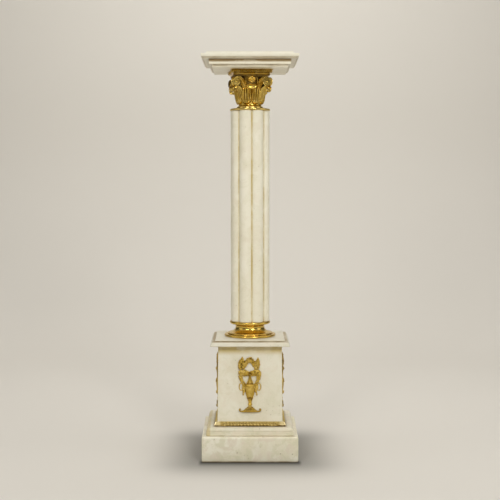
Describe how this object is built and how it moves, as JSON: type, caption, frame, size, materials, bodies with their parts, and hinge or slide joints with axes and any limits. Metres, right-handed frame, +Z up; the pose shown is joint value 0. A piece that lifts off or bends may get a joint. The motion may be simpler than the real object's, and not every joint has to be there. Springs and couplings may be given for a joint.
{
  "type": "column pedestal",
  "caption": "Tall square marble pedestal with a reeded column, gilt bronze base, leafy capital, urn reliefs and leaf border, and a moulded square top.",
  "frame": {"origin": "middle of the underside of the plinth, on the floor", "axes": "+Z up, the front urn relief faces -Y, +X to the right seen from the front"},
  "size_m": [0.285, 0.285, 1.2],
  "materials": {
    "marble": "polished cream marble with faint mottling, small pits and brown stains in the joints",
    "gilt_bronze": "gilt bronze, bright on the raised parts and dark in the hollows",
    "pale_gilt": "paler worn gilt brass"
  },
  "bodies": {
    "root": {"plinth": "marble", "plinth_step": "marble", "die": "marble", "die_cap": "marble", "shaft": "marble", "under_slab": "marble", "top_slab": "marble", "column_base": "gilt_bronze", "neck_ring": "gilt_bronze", "capital": "gilt_bronze", "border_front": "pale_gilt", "border_right": "pale_gilt", "border_back": "pale_gilt", "border_left": "pale_gilt", "urn_mount_front": "gilt_bronze", "urn_mount_right": "gilt_bronze", "urn_mount_back": "gilt_bronze", "urn_mount_left": "gilt_bronze"}
  },
  "joints": []
}
